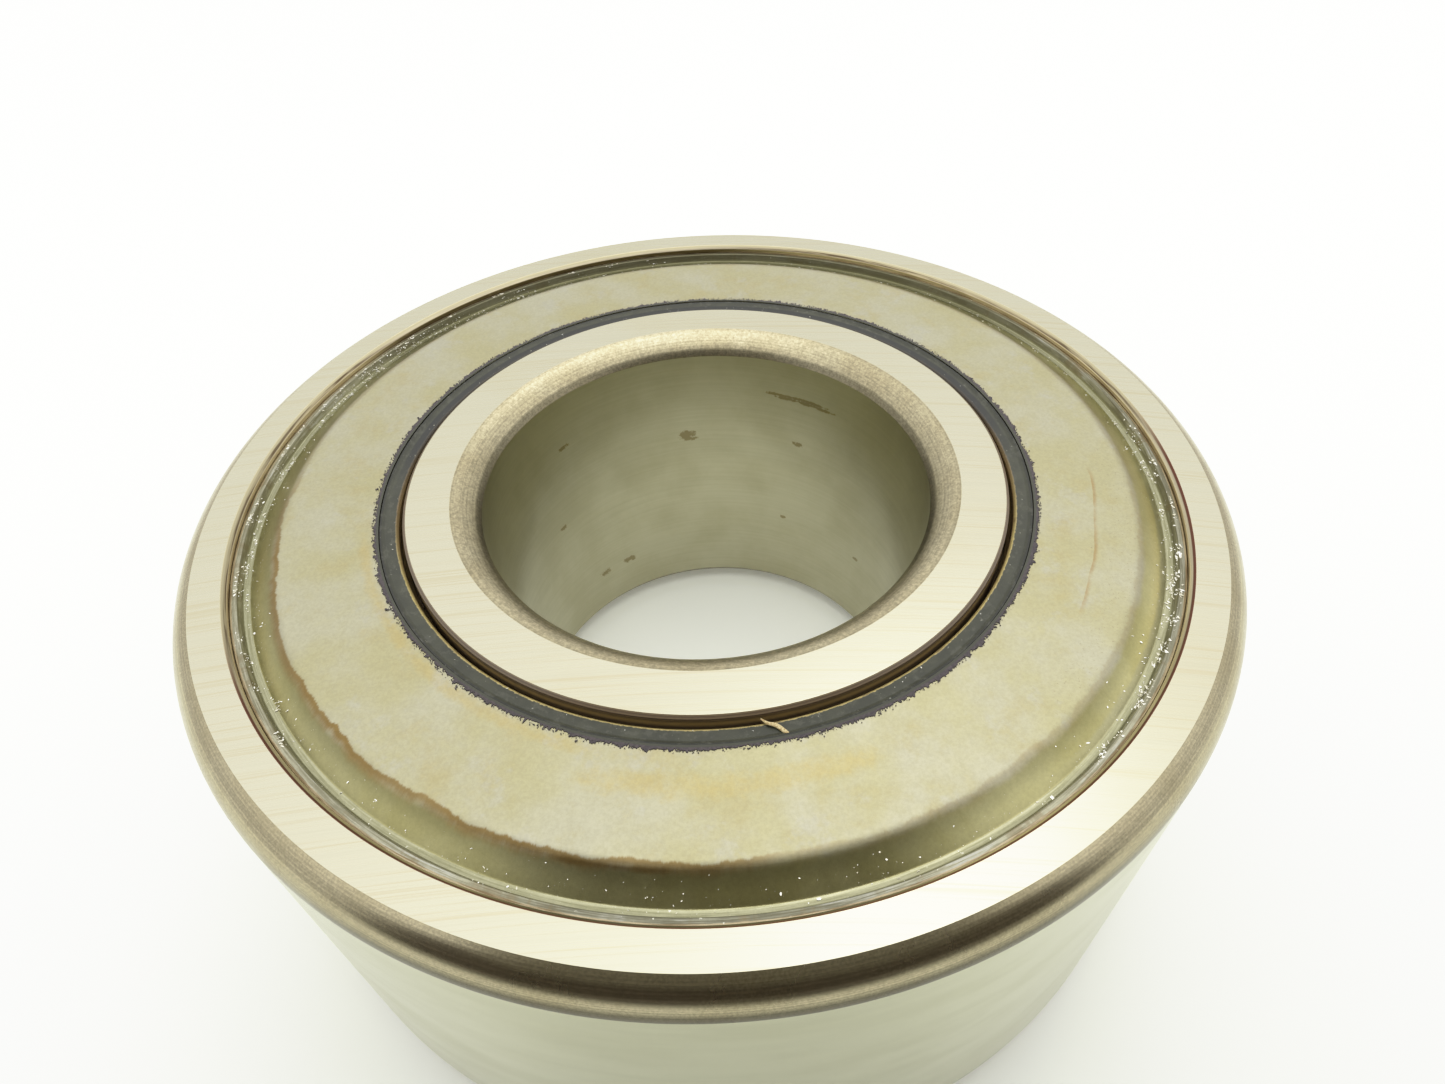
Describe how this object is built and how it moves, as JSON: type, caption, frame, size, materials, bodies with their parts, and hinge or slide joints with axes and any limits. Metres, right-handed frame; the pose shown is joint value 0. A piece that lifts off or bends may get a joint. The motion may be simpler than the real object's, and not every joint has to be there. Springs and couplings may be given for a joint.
{
  "type": "sealed double-row angular-contact ball bearing",
  "caption": "Double-row ball bearing with a plain bore, closed on both sides by steel-cased rubber seals; the inner ring, cages and balls turn together.",
  "frame": {"origin": "on the bore axis at mid width, the centre of the bounding box", "axes": "+Z along the bore axis and out of the upper face; the bearing lies on its lower face; X and Y span the middle plane"},
  "size_m": [0.09, 0.09, 0.0364],
  "materials": {
    "ring_steel": "fine ground bearing steel with a light oil film",
    "ball_steel": "lapped, mirror-like",
    "seal_case_steel": "matte cold-rolled sheet with dried oil stains",
    "seal_rubber": "moulded nitrile rubber, satin",
    "cage_polymer": "natural glass-filled polyamide"
  },
  "bodies": {
    "outer": {"outer_ring": "ring_steel", "seal_case_upper": "seal_case_steel", "seal_case_lower": "seal_case_steel", "seal_lip_upper": "seal_rubber", "seal_lip_lower": "seal_rubber"},
    "inner": {"inner_ring": "ring_steel"},
    "cage_upper": {"cage_upper": "cage_polymer"},
    "cage_lower": {"cage_lower": "cage_polymer"},
    "ball_upper_01": {"ball_upper_01": "ball_steel"},
    "ball_upper_02": {"ball_upper_02": "ball_steel"},
    "ball_upper_03": {"ball_upper_03": "ball_steel"},
    "ball_upper_04": {"ball_upper_04": "ball_steel"},
    "ball_upper_05": {"ball_upper_05": "ball_steel"},
    "ball_upper_06": {"ball_upper_06": "ball_steel"},
    "ball_upper_07": {"ball_upper_07": "ball_steel"},
    "ball_upper_08": {"ball_upper_08": "ball_steel"},
    "ball_upper_09": {"ball_upper_09": "ball_steel"},
    "ball_upper_10": {"ball_upper_10": "ball_steel"},
    "ball_upper_11": {"ball_upper_11": "ball_steel"},
    "ball_lower_01": {"ball_lower_01": "ball_steel"},
    "ball_lower_02": {"ball_lower_02": "ball_steel"},
    "ball_lower_03": {"ball_lower_03": "ball_steel"},
    "ball_lower_04": {"ball_lower_04": "ball_steel"},
    "ball_lower_05": {"ball_lower_05": "ball_steel"},
    "ball_lower_06": {"ball_lower_06": "ball_steel"},
    "ball_lower_07": {"ball_lower_07": "ball_steel"},
    "ball_lower_08": {"ball_lower_08": "ball_steel"},
    "ball_lower_09": {"ball_lower_09": "ball_steel"},
    "ball_lower_10": {"ball_lower_10": "ball_steel"},
    "ball_lower_11": {"ball_lower_11": "ball_steel"}
  },
  "joints": [
    {"name": "inner_ring_spin", "type": "hinge", "parent": "outer", "child": "inner", "pos_m": [0, 0, 0], "axis": [0, 0, 1], "continuous": true},
    {"name": "cage_upper_spin", "type": "hinge", "parent": "outer", "child": "cage_upper", "pos_m": [0, 0, 0], "axis": [0, 0, 1], "continuous": true},
    {"name": "cage_lower_spin", "type": "hinge", "parent": "outer", "child": "cage_lower", "pos_m": [0, 0, 0], "axis": [0, 0, 1], "continuous": true},
    {"name": "ball_upper_01_spin", "type": "hinge", "parent": "cage_upper", "child": "ball_upper_01", "pos_m": [0.0325, 0, 0.0079], "axis": [0.5, 0, 0.866], "continuous": true},
    {"name": "ball_upper_02_spin", "type": "hinge", "parent": "cage_upper", "child": "ball_upper_02", "pos_m": [0.02734, 0.01757, 0.0079], "axis": [0.4206, 0.2703, 0.866], "continuous": true},
    {"name": "ball_upper_03_spin", "type": "hinge", "parent": "cage_upper", "child": "ball_upper_03", "pos_m": [0.0135, 0.02956, 0.0079], "axis": [0.2077, 0.4548, 0.866], "continuous": true},
    {"name": "ball_upper_04_spin", "type": "hinge", "parent": "cage_upper", "child": "ball_upper_04", "pos_m": [-0.00463, 0.03217, 0.0079], "axis": [-0.0712, 0.4949, 0.866], "continuous": true},
    {"name": "ball_upper_05_spin", "type": "hinge", "parent": "cage_upper", "child": "ball_upper_05", "pos_m": [-0.02128, 0.02456, 0.0079], "axis": [-0.3274, 0.3779, 0.866], "continuous": true},
    {"name": "ball_upper_06_spin", "type": "hinge", "parent": "cage_upper", "child": "ball_upper_06", "pos_m": [-0.03118, 0.00916, 0.0079], "axis": [-0.4797, 0.1409, 0.866], "continuous": true},
    {"name": "ball_upper_07_spin", "type": "hinge", "parent": "cage_upper", "child": "ball_upper_07", "pos_m": [-0.03118, -0.00916, 0.0079], "axis": [-0.4797, -0.1409, 0.866], "continuous": true},
    {"name": "ball_upper_08_spin", "type": "hinge", "parent": "cage_upper", "child": "ball_upper_08", "pos_m": [-0.02128, -0.02456, 0.0079], "axis": [-0.3274, -0.3779, 0.866], "continuous": true},
    {"name": "ball_upper_09_spin", "type": "hinge", "parent": "cage_upper", "child": "ball_upper_09", "pos_m": [-0.00463, -0.03217, 0.0079], "axis": [-0.0712, -0.4949, 0.866], "continuous": true},
    {"name": "ball_upper_10_spin", "type": "hinge", "parent": "cage_upper", "child": "ball_upper_10", "pos_m": [0.0135, -0.02956, 0.0079], "axis": [0.2077, -0.4548, 0.866], "continuous": true},
    {"name": "ball_upper_11_spin", "type": "hinge", "parent": "cage_upper", "child": "ball_upper_11", "pos_m": [0.02734, -0.01757, 0.0079], "axis": [0.4206, -0.2703, 0.866], "continuous": true},
    {"name": "ball_lower_01_spin", "type": "hinge", "parent": "cage_lower", "child": "ball_lower_01", "pos_m": [0.03118, 0.00916, -0.0079], "axis": [-0.4797, -0.1409, 0.866], "continuous": true},
    {"name": "ball_lower_02_spin", "type": "hinge", "parent": "cage_lower", "child": "ball_lower_02", "pos_m": [0.02128, 0.02456, -0.0079], "axis": [-0.3274, -0.3779, 0.866], "continuous": true},
    {"name": "ball_lower_03_spin", "type": "hinge", "parent": "cage_lower", "child": "ball_lower_03", "pos_m": [0.00463, 0.03217, -0.0079], "axis": [-0.0712, -0.4949, 0.866], "continuous": true},
    {"name": "ball_lower_04_spin", "type": "hinge", "parent": "cage_lower", "child": "ball_lower_04", "pos_m": [-0.0135, 0.02956, -0.0079], "axis": [0.2077, -0.4548, 0.866], "continuous": true},
    {"name": "ball_lower_05_spin", "type": "hinge", "parent": "cage_lower", "child": "ball_lower_05", "pos_m": [-0.02734, 0.01757, -0.0079], "axis": [0.4206, -0.2703, 0.866], "continuous": true},
    {"name": "ball_lower_06_spin", "type": "hinge", "parent": "cage_lower", "child": "ball_lower_06", "pos_m": [-0.0325, 0, -0.0079], "axis": [0.5, 0, 0.866], "continuous": true},
    {"name": "ball_lower_07_spin", "type": "hinge", "parent": "cage_lower", "child": "ball_lower_07", "pos_m": [-0.02734, -0.01757, -0.0079], "axis": [0.4206, 0.2703, 0.866], "continuous": true},
    {"name": "ball_lower_08_spin", "type": "hinge", "parent": "cage_lower", "child": "ball_lower_08", "pos_m": [-0.0135, -0.02956, -0.0079], "axis": [0.2077, 0.4548, 0.866], "continuous": true},
    {"name": "ball_lower_09_spin", "type": "hinge", "parent": "cage_lower", "child": "ball_lower_09", "pos_m": [0.00463, -0.03217, -0.0079], "axis": [-0.0712, 0.4949, 0.866], "continuous": true},
    {"name": "ball_lower_10_spin", "type": "hinge", "parent": "cage_lower", "child": "ball_lower_10", "pos_m": [0.02128, -0.02456, -0.0079], "axis": [-0.3274, 0.3779, 0.866], "continuous": true},
    {"name": "ball_lower_11_spin", "type": "hinge", "parent": "cage_lower", "child": "ball_lower_11", "pos_m": [0.03118, -0.00916, -0.0079], "axis": [-0.4797, 0.1409, 0.866], "continuous": true}
  ],
  "couplings": [
    {"joint": "cage_upper_spin", "follows": "inner_ring_spin", "ratio": 0.40482},
    {"joint": "cage_lower_spin", "follows": "inner_ring_spin", "ratio": 0.40482},
    {"joint": "ball_upper_01_spin", "follows": "inner_ring_spin", "ratio": -2.1922},
    {"joint": "ball_upper_02_spin", "follows": "inner_ring_spin", "ratio": -2.1922},
    {"joint": "ball_upper_03_spin", "follows": "inner_ring_spin", "ratio": -2.1922},
    {"joint": "ball_upper_04_spin", "follows": "inner_ring_spin", "ratio": -2.1922},
    {"joint": "ball_upper_05_spin", "follows": "inner_ring_spin", "ratio": -2.1922},
    {"joint": "ball_upper_06_spin", "follows": "inner_ring_spin", "ratio": -2.1922},
    {"joint": "ball_upper_07_spin", "follows": "inner_ring_spin", "ratio": -2.1922},
    {"joint": "ball_upper_08_spin", "follows": "inner_ring_spin", "ratio": -2.1922},
    {"joint": "ball_upper_09_spin", "follows": "inner_ring_spin", "ratio": -2.1922},
    {"joint": "ball_upper_10_spin", "follows": "inner_ring_spin", "ratio": -2.1922},
    {"joint": "ball_upper_11_spin", "follows": "inner_ring_spin", "ratio": -2.1922},
    {"joint": "ball_lower_01_spin", "follows": "inner_ring_spin", "ratio": -2.1922},
    {"joint": "ball_lower_02_spin", "follows": "inner_ring_spin", "ratio": -2.1922},
    {"joint": "ball_lower_03_spin", "follows": "inner_ring_spin", "ratio": -2.1922},
    {"joint": "ball_lower_04_spin", "follows": "inner_ring_spin", "ratio": -2.1922},
    {"joint": "ball_lower_05_spin", "follows": "inner_ring_spin", "ratio": -2.1922},
    {"joint": "ball_lower_06_spin", "follows": "inner_ring_spin", "ratio": -2.1922},
    {"joint": "ball_lower_07_spin", "follows": "inner_ring_spin", "ratio": -2.1922},
    {"joint": "ball_lower_08_spin", "follows": "inner_ring_spin", "ratio": -2.1922},
    {"joint": "ball_lower_09_spin", "follows": "inner_ring_spin", "ratio": -2.1922},
    {"joint": "ball_lower_10_spin", "follows": "inner_ring_spin", "ratio": -2.1922},
    {"joint": "ball_lower_11_spin", "follows": "inner_ring_spin", "ratio": -2.1922}
  ]
}
